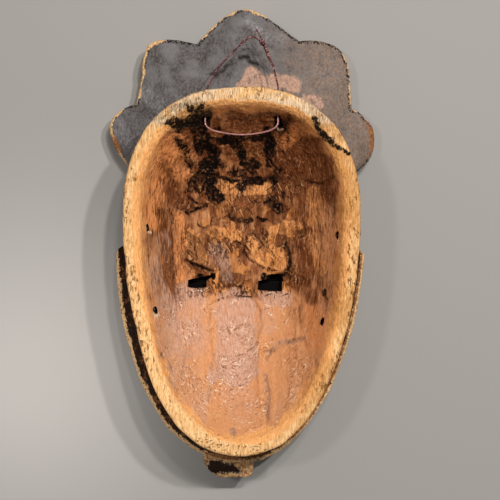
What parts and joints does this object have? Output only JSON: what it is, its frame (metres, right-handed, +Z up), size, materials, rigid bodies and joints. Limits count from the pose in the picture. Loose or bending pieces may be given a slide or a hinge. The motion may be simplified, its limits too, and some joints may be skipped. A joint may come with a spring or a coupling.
{
  "type": "carved wooden face mask",
  "caption": "Hollow carved wooden face mask with a lobed crest, jaw frill and hanging wire, lying on its face.",
  "frame": {"origin": "on the surface that the mask lies on, under the middle of its bounding box", "axes": "+X across the mask, +Y from the chin towards the crest, +Z up out of the hollow back"},
  "size_m": [0.2285, 0.4005, 0.097],
  "materials": {
    "carved_wood": "hand-carved, stained dark outside and worn pale on its edges, bare and dusty inside",
    "copper_wire": "thin enamelled copper wire, dark red, two strands twisted together"
  },
  "bodies": {
    "root": {"mask": "carved_wood", "hanging_wire": "copper_wire"}
  },
  "joints": []
}
